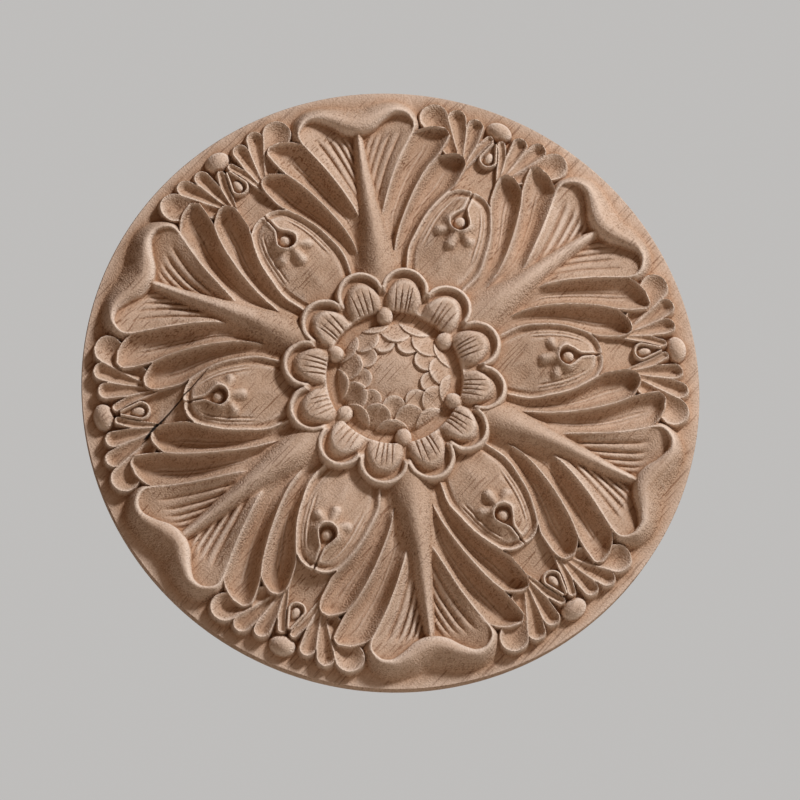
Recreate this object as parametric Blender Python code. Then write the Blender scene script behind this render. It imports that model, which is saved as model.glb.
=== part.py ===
"""Carved wooden rosette, 300 mm across.

A round board carved on its front with six large leaves, a seed pod and a small leaf between each pair
of them, and a flower of twelve petals round a scaled boss. It is one piece of wood.

The rosette stands upright: its front faces -Y, a leaf points up (+Z), and its flat back lies on y = 0
with the origin at the back's centre. The carving is a height above the board's face, worked out for half
a leaf's sector and turned and mirrored round the centre. Sizes are in millimetres, angles in degrees.
"""
from collections import namedtuple

import bpy
import numpy as np

MM = 0.001

# Board
DISC_RADIUS = 150.0
BOARD_THICKNESS = 8.0

# The carving repeats every sector, mirrored about each leaf's middle line
SECTOR = 60.0
HALF_SECTOR = SECTOR / 2

# Pairs below are (distance from the centre, size) unless they say otherwise; heights are above the board.
# Rib down the middle of a large leaf
RIB_HALF_WIDTH = ((50, 9.9), (64, 8.8), (80, 6.0), (88, 5.1), (106, 4.0), (118, 3.2), (128, 2.4))
RIB_CREST = ((50, 15.6), (65, 16.6), (80, 15.6), (90, 13.8), (100, 11.2), (110, 8.6), (124, 6.2))
RIB_FOOT = ((50, 11.2), (66, 10.2), (84, 10.0), (97, 7.6), (111, 3.6), (121, 2.2), (132, 2.0))
RIB_END = 130.0
RIB_SHAPE = (1.9, 1.1)
RIB_ROUNDING = 0.3

# Ridges between a leaf's hollows: (distance, degrees off the leaf's middle), then the height of each
RIDGE_1 = ((84, 3.8), (97, 6.6), (109, 9.0), (119, 11.0), (127, 12.5), (133, 13.2))
RIDGE_1_CREST = ((84, 11.6), (95, 12.1), (106, 10.4), (115, 8.6), (122, 7.4), (133, 6.8))
RIDGE_2 = ((64, 7.9), (72, 8.9), (89, 12.5), (97, 14.3), (110, 17.3), (117, 19.1), (124, 20.1), (130, 20.6))
RIDGE_2_CREST = ((64, 11.6), (80, 13.0), (90, 12.8), (102, 11.4), (112, 9.4), (122, 7.8), (132, 6.8))
RIDGE_3 = ((56, 14.4), (64, 14.0), (77, 16.7), (85, 18.8), (92, 21.2), (98, 23.4), (103, 24.9), (112, 25.7))
RIDGE_3_CREST = ((56, 12.2), (64, 12.2), (77, 13.6), (88, 13.2), (98, 11.6), (110, 9.4), (120, 8.4))
RIDGE_RISE = 2.0
RIDGE_MARGIN = 1.0

# Floors of the two hollows, and where their rounded tips end: (-1 on the rib's side to 1, distance)
HOLLOW_1_FLOOR = ((66, 9.6), (84, 7.6), (92, 5.4), (103, 2.4), (112, 1.0), (121, 0.7))
HOLLOW_2_FLOOR = ((60, 9.6), (70, 8.7), (79, 7.4), (89, 5.4), (99, 2.9), (108, 1.3), (118, 1.0))
HOLLOW_1_TIP = ((-1, 127), (-0.6, 130.2), (0.1, 132.6), (0.6, 132.8), (0.9, 131), (1, 129.5))
HOLLOW_2_TIP = ((-1, 116), (-0.5, 118.6), (0.1, 120.2), (0.6, 119.6), (0.9, 117.4), (1, 115.5))

# Each hollow is gouged down from both ridges to a foot at this share of its width from the rib's side
HOLLOW_FOOT = 0.55
HOLLOW_WALL_POWER = 2.2
END_WALL = 6.0
END_WALL_POWER = 2.2
FOOT_ROUNDING = 0.06
TIP_ROUNDING = 0.3
LEAF_EDGE_WALL = 2.4
SCARP_POWER = 1.5
PANEL_POWER = 1.6

# Rolled lip over a large leaf's tip: (sideways, along the leaf), with its height and widths there
LIP = ((-6, 132.7), (0, 131.4), (6, 132.7), (12, 135.6), (19.3, 137.6), (25, 136), (28.4, 132), (29.2, 128),
       (27, 123))
LIP_CREST = (9.6, 9.8, 9.6, 9.2, 8.8, 8.5, 8.2, 7.7, 7.0)
LIP_INNER_WIDTH = (6.0, 6.0, 5.6, 4.6, 3.2, 2.2, 1.7, 1.5, 1.2)
LIP_OUTER_WIDTH = (12.0, 12.0, 11.5, 9.5, 7.5, 6.2, 5.2, 4.4, 3.0)
LIP_INNER_SHAPE = (2.8, 0.6)
LIP_OUTER_SHAPE = (1.6, 1.4)
LIP_REACH = ((0, 132), (4.1, 136), (7.9, 139), (10.4, 138), (12.2, 135), (13, 131.5), (13.6, 128))

# Seed pod between two leaves; "along" is measured on the line midway between them
POD_TIP = ((14, 96), (24, 99.0), (26, 101.0), (28, 102.0), (29.3, 102.2), (30, 101.6))
POD_TIP_ROUNDING = 1.6
POD_GROOVE_IN = 2.8
POD_GROOVE_DEPTH = 2.2
POD_GROOVE_RISE = (2.6, 4.6)
POD_EDGE_WALL = 2.4
POD_MIDDLE = ((50, 10.4), (56, 11.0), (62, 12.0), (70, 12.4), (82, 12.8), (90, 12.2), (101, 10.5))
POD_HALF_WIDTH = ((55, 15.0), (76, 15.0), (88, 11.5), (95, 8.0), (101, 4.0))
POD_SIDE_POWER = 1.8
DIMPLE_PLACE = (5.5, 61.5)
DIMPLE_RADIUS = 4.6
DIMPLE_DEPTH = 0.8

# Knob that carries the eye, and the blunt toes that spread from it towards the flower
KNOB_TOP = ((76, 16.6), (80, 16.6), (85, 16.0), (90, 14.2), (95, 11.9), (101, 10.5))
KNOB_HALF_WIDTH = ((78, 7.6), (82, 9.6), (85, 9.8), (90, 7.8), (96, 5.4), (101, 4.0))
KNOB_FRONT = 77.2
KNOB_WALL = 4.0
KNOB_ROUNDING = 5.0
Toe = namedtuple("Toe", "start end half_width height")
TOES = (Toe((0.0, 79.0), (0.0, 73.4), 3.9, 3.7), Toe((4.0, 80.0), (7.6, 78.0), 3.5, 3.2))
TOE_CURVE = 1.1
TOE_ROUNDING = 2.2

EYE_ALONG = 85.0
EYE_RADIUS = 4.6
EYE_NECK = ((85, 4.6), (87.5, 3.4), (90, 1.7), (92.5, 0.6), (103, 0.45))
EYE_FLOOR = 11.6
EYE_RIM_HEIGHT = 0.9
EYE_RIM_OUT = 0.5
EYE_RIM_WIDTH = 0.9
EYE_RIM_END = 103.0
EYE_RIM_FADE = 3.0
EYE_WALL = 0.7
EYE_BEAD_RADIUS = 2.9
SLIT_START = 93.0
SLIT_DEPTH = 1.5

# Small leaf behind the seed pod
SMALL_GROUND = ((90, 9.0), (101, 8.0), (108, 5.8), (114, 4.2), (122, 3.2), (133, 2.4))
SMALL_REACH = ((101, 22.0), (110, 17.0), (120, 12.0), (130, 7.0), (134, 3.0))
SMALL_END = 131.0
SMALL_FADE = 3.0
Lobe = namedtuple("Lobe", "spine half_width crest")
SMALL_LOBES = (
    Lobe(((47.5, 104.0), (44.0, 118.0), (39.4, 131.6)), (1.6, 5.0, 6.9), (6.6, 6.2, 5.6)),
    Lobe(((48.0, 104.0), (49.8, 118.0), (50.4, 130.2)), (1.4, 3.6, 4.2), (6.8, 6.2, 5.4)),
    Lobe(((48.8, 104.0), (54.0, 115.5), (58.4, 124.8)), (1.4, 3.4, 3.8), (7.0, 6.4, 5.6)),
)
FINGER = Lobe(((9.0, 113.0), (7.5, 120.0), (5.9, 127.0), (3.2, 133.6)), (0.9, 1.6, 1.9, 1.8),
              (7.0, 6.6, 6.2, 6.0))
LOBE_DEPTH = 3.4
LOBE_DEPTH_SHARE = 0.9
LOBE_CURVE = 1.6
LOBE_EDGE_WALL = 1.7

VOLUTE_ALONG = 122.8
VOLUTE_RADIUS = 4.0
VOLUTE_HALF_WIDTH = 1.25
VOLUTE_TAPER = 0.34
VOLUTE_END = 132.5
VOLUTE_CREST = 7.2
VOLUTE_FLOOR = 4.2
VOLUTE_BEAD_ALONG = 123.8
VOLUTE_BEAD = (2.2, 3.4, 2.2)

BALL_ALONG = 140.2
BALL_SIZE = (6.8, 5.1, 6.4)

# Ring of twelve petals round the centre
PETAL_SPACING = 30.0
PETAL_CENTRE = 43.0
PETAL_RADIUS = 11.3
PETAL_RIM_TOP = 16.2
PETAL_CUSP_RISE = 0.9
PETAL_CUSP_SHARE = 0.14
PETAL_RIM_IN = 1.2
PETAL_RIM_HALF_WIDTH = 1.9
PETAL_RIM_ROUND = 0.6
PETAL_RIM_START = (39.5, 44.0)
PETAL_OUTER_SLOPE = 4.0
PETAL_TROUGH = 12.8
PETAL_TOP = ((32, 13.0), (35, 15.2), (38, 16.5), (42, 17.0), (46, 16.6), (49, 15.4))
PETAL_INSET = (1.0, 4.4)
PETAL_NARROWS = (38.0, 47.0)
PETAL_WALL = 4.4
PETAL_CURVE = 2.4
PETAL_INNER_EDGE = (32.0, 33.2)
PETAL_CUTS = (-5.6, -1.9, 1.9, 5.6)
PETAL_CUT_HALF_WIDTH = 0.7
PETAL_CUT_DEPTH = 1.2
PETAL_CUT_END = (38.0, 47.0)

# Sunk ring inside the petals, with a bead on each leaf's middle line
RING_FLOOR = 9.6
BEAD_ALONG = 30.4
BEAD_SIZE = (3.9, 4.7, 4.3)
BEAD_BASE = 11.4

# Domed boss with three rows of scales, their round tips towards its smooth middle
BOSS_RADIUS = 27.8
BOSS_DOME = ((0, 18.0), (6, 17.6), (11, 16.5), (15.5, 15.5), (20, 14.2), (24, 12.4), (26, 11.0), (27.8, 8.4))
SCALE_SPACING = 40.0
ScaleRow = namedtuple("ScaleRow", "tip radius turn step")
SCALE_ROWS = (ScaleRow(11.0, 5.6, 20.0, 1.7), ScaleRow(15.6, 7.7, 0.0, 0.9), ScaleRow(21.6, 9.6, 20.0, 0.9))
SCALE_SIDE_SHARE = 0.75
SCALE_EDGE = 0.55
SCALE_FALL = 0.9
SCALE_RUN = 7.0

# Mesh: spacing of the points that the carving is worked out at, and the faces kept
BORDER_RADIUS = 149.0
RING_STEP = 1.0
SPOKES = 720
RIM_CORNERS = 120
TRIANGLES = 9800

WOOD_COLOUR = (0.45, 0.29, 0.19, 1.0)
WOOD_ROUGHNESS = 0.75

Place = namedtuple("Place", "r a u v s t")


def clear_scene():
    """Remove the objects that a new Blender scene starts with."""
    for obj in list(bpy.data.objects):
        bpy.data.objects.remove(obj, do_unlink=True)


def ease(x):
    """0 below 0 and 1 above 1, with a smooth step between."""
    x = np.clip(x, 0, 1)
    return x * x * (3 - 2 * x)


def curve(x, knots):
    """Smooth line through hand-set (x, y) pairs that never overshoots them, level past both ends."""
    kx, ky = (np.array(column, float) for column in zip(*knots))
    slope = np.diff(ky) / np.diff(kx)
    tangent = np.zeros(len(kx))
    same_way = slope[:-1] * slope[1:] > 0
    tangent[1:-1][same_way] = 2 * (slope[:-1] * slope[1:])[same_way] / (slope[:-1] + slope[1:])[same_way]
    tangent[0], tangent[-1] = slope[0], slope[-1]
    x = np.clip(x, kx[0], kx[-1])
    i = np.clip(np.searchsorted(kx, x) - 1, 0, len(kx) - 2)
    width = kx[i + 1] - kx[i]
    f = (x - kx[i]) / width
    start = (1 + 2 * f) * (1 - f) ** 2 * ky[i] + f * (1 - f) ** 2 * width * tangent[i]
    end = f * f * (3 - 2 * f) * ky[i + 1] + f * f * (f - 1) * width * tangent[i + 1]
    return start + end


def join(a, b, rounding):
    """The higher of two surfaces, with the crease where they meet filled a little."""
    return np.maximum(a, b) + np.maximum(rounding - np.abs(a - b), 0) ** 2 / (4 * rounding)


def nearer(a, b, rounding):
    """The smaller of two distances, rounded where they are alike."""
    return np.minimum(a, b) - np.maximum(rounding - np.abs(a - b), 0) ** 2 / (4 * rounding)


def fold(x, y):
    """A point's place in its half sector.

    r is its distance from the centre and a its angle off the nearest leaf's middle line; u and v are
    its place sideways from that line and along it, s and t the same for the line between two leaves.
    """
    r = np.hypot(x, y)
    a = np.abs((np.degrees(np.arctan2(x, y)) + HALF_SECTOR) % SECTOR - HALF_SECTOR)
    near, far = np.radians(a), np.radians(HALF_SECTOR - a)
    return Place(r, a, r * np.sin(near), r * np.cos(near), r * np.sin(far), r * np.cos(far))


def path_points(knots, steps=8):
    """Points of a smooth path through the knots, with each one's place counted in knots."""
    p = np.array(knots, float)
    p = np.vstack([2 * p[0] - p[1], p, 2 * p[-1] - p[-2]])
    points = []
    for a, b, c, d in zip(p[:-3], p[1:-2], p[2:-1], p[3:]):
        for f in np.arange(steps) / steps:
            points.append(0.5 * (2 * b + (c - a) * f + (2 * a - 5 * b + 4 * c - d) * f ** 2
                                 + (3 * b - 3 * c + d - a) * f ** 3))
    points.append(p[-2])
    return np.array(points), np.linspace(0, len(knots) - 1, len(points))


def nearest(u, v, knots):
    """Each point's distance to a path, the place along it counted in knots, and its side, 1 on the left."""
    points, places = path_points(knots)
    distance = np.full(u.shape, np.inf)
    place = np.zeros(u.shape)
    side = np.zeros(u.shape)
    for start, end, first, last in zip(points[:-1], points[1:], places[:-1], places[1:]):
        along = end - start
        f = np.clip(((u - start[0]) * along[0] + (v - start[1]) * along[1]) / (along @ along), 0, 1)
        d = np.hypot(u - start[0] - f * along[0], v - start[1] - f * along[1])
        closer = d < distance
        distance = np.where(closer, d, distance)
        place = np.where(closer, first + f * (last - first), place)
        side = np.where(closer, np.sign(along[0] * (v - start[1]) - along[1] * (u - start[0])), side)
    return distance, place, side


def half_ball(across, along, radius):
    """Height of a half ball over its own middle, 0 outside it."""
    return np.sqrt(np.maximum(radius ** 2 - across ** 2 - along ** 2, 0))


def drop(distance, width, power):
    """How far down to the floor a gouged wall has come at a distance from its crest, from 0 to 1."""
    return 1 - (1 - np.clip(distance / np.maximum(width, 0.01), 0, 1)) ** power


def scarp(distance, width):
    """Share of a crest's height left at a distance outside its crisp edge, from 1 down to 0."""
    return (1 - np.clip(distance / width, 0, 1)) ** SCARP_POWER


def hollow(p, low, high, tip, low_crest, high_crest, floor):
    """Gouged hollow between two ridges, with crisp crests; its height, and the distance inside its edge."""
    to_mm = np.radians(1) * p.r
    span = np.maximum(high - low, 0.01)
    share = np.clip((p.a - low) / span, 0, 1)
    side = np.minimum(p.a - low, high - p.a) * to_mm
    end = curve(2 * share - 1, tip) - p.r
    edge = np.minimum(side, end)
    down = nearer(drop(share, HOLLOW_FOOT, HOLLOW_WALL_POWER),
                  drop(1 - share, 1 - HOLLOW_FOOT, HOLLOW_WALL_POWER), FOOT_ROUNDING)
    down = nearer(down, drop(end, END_WALL, END_WALL_POWER), TIP_ROUNDING)
    crest = low_crest + (high_crest - low_crest) * share
    surface = crest - (crest - floor) * np.maximum(down, 0)
    return np.where(edge < 0, crest * scarp(-edge, LEAF_EDGE_WALL), surface), edge


def rib(p, foot):
    """Rounded rib down a large leaf's middle; 0 beside it."""
    across = np.clip(p.u / curve(p.r, RIB_HALF_WIDTH), 0, 1)
    power, rounding = RIB_SHAPE
    height = foot + (curve(p.r, RIB_CREST) - foot) * (1 - across ** power) ** rounding
    return np.where((across < 1) & (p.v < RIB_END), height, 0)


def lip(p):
    """Roll of wood that curls over a large leaf's tip."""
    distance, place, side = nearest(p.u, p.v, LIP)
    knots = np.arange(len(LIP))
    profile = []
    for widths, (power, rounding) in ((LIP_INNER_WIDTH, LIP_INNER_SHAPE), (LIP_OUTER_WIDTH, LIP_OUTER_SHAPE)):
        across = np.clip(distance / np.interp(place, knots, widths), 0, 1)
        profile.append((1 - across ** power) ** rounding)
    inner, outer = profile
    return np.interp(place, knots, LIP_CREST) * np.where(side > 0, outer, inner)


def large_leaf(p):
    """Half a large leaf: its rib, the panel under its lip and its two hollows; and where it covers."""
    foot = curve(p.r, RIB_FOOT)
    rib_edge = np.degrees(curve(p.r, RIB_HALF_WIDTH) / np.maximum(p.r, 1))
    line_1, line_2, line_3 = (curve(p.r, ridge) for ridge in (RIDGE_1, RIDGE_2, RIDGE_3))
    crest_1, crest_2, crest_3 = (curve(p.r, c) for c in (RIDGE_1_CREST, RIDGE_2_CREST, RIDGE_3_CREST))
    # where a ridge has not yet parted from the rib, the hollow beside it starts at the rib's foot
    start_1 = foot + (crest_1 - foot) * ease((line_1 - rib_edge) / RIDGE_RISE)
    start_2 = foot + (crest_2 - foot) * ease((line_2 - rib_edge) / RIDGE_RISE)
    line_1 = np.maximum(line_1, rib_edge)
    line_2 = np.maximum(line_2, line_1)
    line_3 = np.maximum(line_3, line_2)

    share = np.clip((p.a - rib_edge) / np.maximum(line_1 - rib_edge, 0.01), 0, 1)
    panel = foot + (start_1 - foot) * share ** PANEL_POWER
    on_panel = (p.a < line_1) & (p.r < curve(p.a, LIP_REACH))
    hollow_1, edge_1 = hollow(p, line_1, line_2, HOLLOW_1_TIP, start_1, start_2, curve(p.r, HOLLOW_1_FLOOR))
    hollow_2, edge_2 = hollow(p, line_2, line_3, HOLLOW_2_TIP, start_2, crest_3, curve(p.r, HOLLOW_2_FLOOR))

    height = np.where(p.a > line_1 - RIDGE_MARGIN, np.maximum(hollow_1, hollow_2), 0)
    height = np.where(edge_1 > 0, hollow_1, np.where(edge_2 > 0, hollow_2, height))
    height = np.where(on_panel, panel, height)
    height = join(height, rib(p, foot), RIB_ROUNDING)
    return np.maximum(height, lip(p)), on_panel | (edge_1 > 0) | (edge_2 > 0)


def eye_wall(p):
    """Distance outside the drop-shaped eye, negative inside it."""
    round_end = np.hypot(p.s, p.t - EYE_ALONG) - EYE_RADIUS
    return np.where(p.t < EYE_ALONG, round_end, p.s - curve(p.t, EYE_NECK))


def knob(p):
    """Height of a seed pod's knob and its toes over the pod's own surface."""
    inside = nearer(curve(p.t, KNOB_HALF_WIDTH) - p.s, p.t - KNOB_FRONT, KNOB_ROUNDING)
    top = curve(p.t, KNOB_TOP) - curve(p.t, POD_MIDDLE)
    height = top * ease(inside / KNOB_WALL)
    for toe in TOES:
        share = np.clip(nearest(p.s, p.t, (toe.start, toe.end))[0] / toe.half_width, 0, 1)
        height = join(height, toe.height * (1 - share ** 2) ** TOE_CURVE, TOE_ROUNDING)
    return height


def seed_pod(p):
    """The pod between two large leaves, with its knob, eye and slit; and where it covers."""
    crest = curve(p.r, RIDGE_3_CREST)
    side = np.radians(p.a - curve(p.r, RIDGE_3)) * p.r
    end = curve(p.a, POD_TIP) - p.r
    edge = nearer(side, end, POD_TIP_ROUNDING)
    groove = crest - POD_GROOVE_DEPTH

    middle = curve(p.t, POD_MIDDLE)
    across = np.clip(p.s / curve(p.t, POD_HALF_WIDTH), 0, 1)
    body = np.maximum(middle - (middle - groove) * across ** POD_SIDE_POWER, groove) + knob(p)
    dimple_across, dimple_along = DIMPLE_PLACE
    from_dimple = np.hypot(p.s - dimple_across, p.t - dimple_along) / DIMPLE_RADIUS
    body = body - DIMPLE_DEPTH * np.exp(-from_dimple ** 2)
    rim = crest - POD_GROOVE_DEPTH * ease(edge / POD_GROOVE_IN)
    start, full = POD_GROOVE_RISE
    height = rim + (body - rim) * ease((edge - start) / (full - start))

    wall = eye_wall(p)
    raised = EYE_RIM_HEIGHT * np.exp(-((wall - EYE_RIM_OUT) / EYE_RIM_WIDTH) ** 2)
    height = height + raised * ease((EYE_RIM_END - p.t) / EYE_RIM_FADE)
    floor = np.where(p.t > SLIT_START, height - SLIT_DEPTH, EYE_FLOOR)
    height = height + (floor - height) * (1 - ease(wall + EYE_WALL))
    bead = EYE_FLOOR + half_ball(p.s, p.t - EYE_ALONG, EYE_BEAD_RADIUS)
    height = np.maximum(height, np.where(bead > EYE_FLOOR, bead, 0))

    outside = np.minimum(side, end)
    return np.where(outside < 0, crest * scarp(-outside, POD_EDGE_WALL), height), outside > 0


def small_lobes(p):
    """Spoon-shaped lobes of a small leaf: gouges that share crisp crests where they meet."""
    share, top, depth, outside = (np.full(p.r.shape, value) for value in (np.inf, 0.0, 0.0, np.inf))
    for lobe in SMALL_LOBES + (FINGER,):
        across, along = (p.s, p.t) if lobe is FINGER else (p.u, p.v)
        distance, place, _ = nearest(across, along, lobe.spine)
        knots = np.arange(len(lobe.spine))
        half_width = np.interp(place, knots, lobe.half_width)
        nearest_yet = distance / half_width < share
        share = np.where(nearest_yet, distance / half_width, share)
        top = np.where(nearest_yet, np.interp(place, knots, lobe.crest), top)
        depth = np.where(nearest_yet, np.minimum(LOBE_DEPTH, LOBE_DEPTH_SHARE * half_width), depth)
        outside = np.minimum(outside, distance - half_width)
    inside = top - depth * (1 - np.clip(share, 0, 1) ** LOBE_CURVE)
    return np.where(outside < 0, inside, top * scarp(outside, LOBE_EDGE_WALL))


def small_leaf(p):
    """Small leaf between two large ones: sloping ground, lobes, a drop-shaped volute and a ball."""
    ground = curve(p.t, SMALL_GROUND) * (1 - ease((p.s - curve(p.t, SMALL_REACH)) / SMALL_FADE))
    height = ground * (1 - ease((p.t - SMALL_END) / SMALL_FADE))
    height = np.maximum(height, small_lobes(p))

    round_end = np.hypot(p.s, p.t - VOLUTE_ALONG)
    from_middle = np.where(p.t < VOLUTE_ALONG, round_end, p.s + VOLUTE_TAPER * (p.t - VOLUTE_ALONG))
    off_line = (from_middle - VOLUTE_RADIUS) / VOLUTE_HALF_WIDTH
    band = VOLUTE_CREST * np.sqrt(np.clip(1 - off_line ** 2, 0, 1))
    wide, long, tall = VOLUTE_BEAD
    bead = VOLUTE_FLOOR + tall * half_ball(p.s / wide, (p.t - VOLUTE_BEAD_ALONG) / long, 1)
    volute = np.where(from_middle < VOLUTE_RADIUS, np.maximum(band, bead), band)
    in_volute = (off_line < 0) & (p.t < VOLUTE_END)
    height = np.where(in_volute, volute, np.where(p.t < VOLUTE_END, np.maximum(height, band), height))
    wide, long, tall = BALL_SIZE
    return np.maximum(height, tall * half_ball(p.s / wide, (p.t - BALL_ALONG) / long, 1))


def petal_cuts(r, turn):
    """Depth of the cuts that fan over the inner half of each petal."""
    cuts = sum(np.exp(-((turn - cut) / PETAL_CUT_HALF_WIDTH) ** 2) for cut in PETAL_CUTS)
    start, end = PETAL_CUT_END
    return PETAL_CUT_DEPTH * cuts * (1 - ease((r - start) / (end - start)))


def petals(p):
    """The ring of petals; its height, and the distance inside its scalloped edge."""
    turn = np.radians(p.a - PETAL_SPACING / 2)
    across, along = p.r * np.sin(turn), p.r * np.cos(turn) - PETAL_CENTRE
    half_turn = np.arcsin(PETAL_RADIUS / PETAL_CENTRE)
    to_side = np.abs(np.sin(turn)) / np.sin(half_turn)
    share = np.where(along > 0, np.hypot(across, along) / PETAL_RADIUS, to_side)
    edge = (1 - share) * PETAL_RADIUS

    at_cusp = np.exp(-((np.abs(across) / PETAL_RADIUS - 1) / PETAL_CUSP_SHARE) ** 2)
    rim_top = PETAL_RIM_TOP + PETAL_CUSP_RISE * at_cusp
    rim_start, rim_full = PETAL_RIM_START
    rise = ease((p.r - rim_start) / (rim_full - rim_start))
    inner_side = ease((edge - PETAL_RIM_IN) / PETAL_RIM_HALF_WIDTH)
    outward = PETAL_RIM_IN - edge
    outer_side = PETAL_RIM_ROUND * np.clip(outward / PETAL_RIM_IN, 0, 1) ** 2
    rim = PETAL_TROUGH + (rim_top - PETAL_TROUGH) * rise * (1 - inner_side) - outer_side
    outside = np.where(along > 0, -edge, -1.0)
    rim = rim - PETAL_OUTER_SLOPE * np.maximum(outside, 0)

    top = curve(p.r, PETAL_TOP) - petal_cuts(p.r, np.degrees(turn))
    side_inset, end_inset = PETAL_INSET
    start, end = PETAL_NARROWS
    inset = side_inset + (end_inset - side_inset) * ease((p.r - start) / (end - start))
    up_wall = np.clip((edge - inset) / PETAL_WALL, 0, 1)
    petal = PETAL_TROUGH + (top - PETAL_TROUGH) * (1 - (1 - up_wall) ** PETAL_CURVE)
    height = np.where(edge > 0, np.maximum(rim, petal), rim)
    start, full = PETAL_INNER_EDGE
    return RING_FLOOR + (height - RING_FLOOR) * ease((p.r - start) / (full - start)), -outside


def boss(x, y, r):
    """Dome with rows of scales that step down towards its smooth middle."""
    angle = np.degrees(np.arctan2(y, x))
    height = curve(r, BOSS_DOME)
    for row in SCALE_ROWS:
        turn = np.radians((angle - row.turn + SCALE_SPACING / 2) % SCALE_SPACING - SCALE_SPACING / 2)
        across, along = r * np.sin(turn), r * np.cos(turn) - row.tip - row.radius
        inside = row.radius - np.where(along < 0, np.hypot(across, along), np.abs(across))
        inside = np.maximum(inside, r - row.tip - SCALE_SIDE_SHARE * row.radius)
        height = height + row.step * ease(inside / SCALE_EDGE) * (1 - SCALE_FALL * ease(inside / SCALE_RUN))
    return np.where(r < BOSS_RADIUS, height, 0)


def relief(x, y):
    """Height of the carved front above the board's face at x, y."""
    p = fold(x, y)
    leaf, on_leaf = large_leaf(p)
    pod, on_pod = seed_pod(p)
    between = np.maximum(np.maximum(leaf, pod), small_leaf(p))
    height = np.where(on_leaf, leaf, np.where(on_pod, np.maximum(pod, rib(p, 0)), between))

    ring, inside_ring = petals(p)
    in_flower = (inside_ring > 0) | (p.r < PETAL_CENTRE - PETAL_RADIUS)
    height = np.where(in_flower, ring, np.maximum(height, ring))
    wide, long, tall = BEAD_SIZE
    bead = tall * half_ball(p.u / wide, (p.v - BEAD_ALONG) / long, 1)
    height = np.where(bead > 0, np.maximum(height, BEAD_BASE + bead), height)
    height = np.maximum(height, boss(x, y, p.r))
    return np.where(p.r < DISC_RADIUS, height, 0)


def ring_points(r, count):
    """Points evenly round a circle, as x and z; the first one straight up."""
    turns = np.arange(count) * 2 * np.pi / count
    return r * np.sin(turns), r * np.cos(turns)


def rosette_points():
    """Points of the front, from its centre to the border, then the front and back edges of the rim."""
    rings = np.arange(0, BORDER_RADIUS + RING_STEP / 2, RING_STEP)[1:]
    x, z = np.hstack([np.zeros((2, 1))] + [ring_points(r, SPOKES) for r in rings])
    front = np.column_stack([x, -(BOARD_THICKNESS + relief(x, z)), z])
    x, z = ring_points(DISC_RADIUS, RIM_CORNERS)
    front_edge = np.column_stack([x, np.full(RIM_CORNERS, -BOARD_THICKNESS), z])
    back_edge = np.column_stack([x, np.zeros(RIM_CORNERS), z])
    return np.vstack([front, front_edge, back_edge]) * MM, len(rings)


def rosette_faces(rings):
    """Faces of the front, its border, the rim and the flat back."""
    after = [(spoke, (spoke + 1) % SPOKES) for spoke in range(SPOKES)]
    faces = [(0, 1 + b, 1 + a) for a, b in after]
    for ring in range(rings - 1):
        inner, outer = 1 + ring * SPOKES, 1 + (ring + 1) * SPOKES
        faces += [(inner + a, inner + b, outer + b, outer + a) for a, b in after]
    border = 1 + (rings - 1) * SPOKES
    front_edge = border + SPOKES
    back_edge = front_edge + RIM_CORNERS
    spokes_per_corner = SPOKES // RIM_CORNERS
    for corner in range(RIM_CORNERS):
        following = (corner + 1) % RIM_CORNERS
        first = corner * spokes_per_corner
        inner = [border + (first + i) % SPOKES for i in range(spokes_per_corner + 1)]
        faces.append((*inner, front_edge + following, front_edge + corner))
        faces.append((front_edge + corner, front_edge + following, back_edge + following, back_edge + corner))
    faces.append(tuple(back_edge + corner for corner in range(RIM_CORNERS)))
    return faces


def rosette_mesh():
    """Closed mesh of the rosette, finer than it needs to be everywhere but at the rim."""
    points, rings = rosette_points()
    mesh = bpy.data.meshes.new("carved_rosette")
    mesh.from_pydata(points.tolist(), [], rosette_faces(rings))
    mesh.update()
    return mesh


def wood():
    """Bare, unfinished light hardwood."""
    material = bpy.data.materials.new("bare_wood")
    material.use_nodes = True
    shader = material.node_tree.nodes["Principled BSDF"]
    shader.inputs["Base Color"].default_value = WOOD_COLOUR
    shader.inputs["Roughness"].default_value = WOOD_ROUGHNESS
    shader.inputs["Metallic"].default_value = 0.0
    return material


def build_rosette():
    """The rosette, its carving thinned to the faces that its shapes need and its rim left round."""
    mesh = rosette_mesh()
    mesh.materials.append(wood())
    mesh.shade_smooth()
    rosette = bpy.data.objects.new("carved_rosette", mesh)
    bpy.context.scene.collection.objects.link(rosette)
    carving = rosette.vertex_groups.new(name="carving")
    carving.add(range(len(mesh.vertices) - 2 * RIM_CORNERS), 1.0, "REPLACE")
    thin = rosette.modifiers.new("thin", "DECIMATE")
    thin.decimate_type = "COLLAPSE"
    thin.ratio = TRIANGLES / sum(len(face.vertices) - 2 for face in mesh.polygons)
    thin.vertex_group = carving.name
    thin.vertex_group_factor = 1.0
    thin.use_collapse_triangulate = True
    return rosette


clear_scene()
build_rosette()
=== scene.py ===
"""Looks of the carved wooden rosette: its finely carved front, its bare wood, the floor, light and camera.

The same carving as the solid's is worked out here on a much finer grid, with the crisp arrises, reeds,
creases and tool marks that the solid leaves out. The front faces -Y and a leaf points up (+Z). The
rosette's sizes are in millimetres, angles in degrees, and the places of camera, light and floor in metres.
"""
from collections import namedtuple

import bpy
import numpy as np
from mathutils import Matrix, Vector


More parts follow.
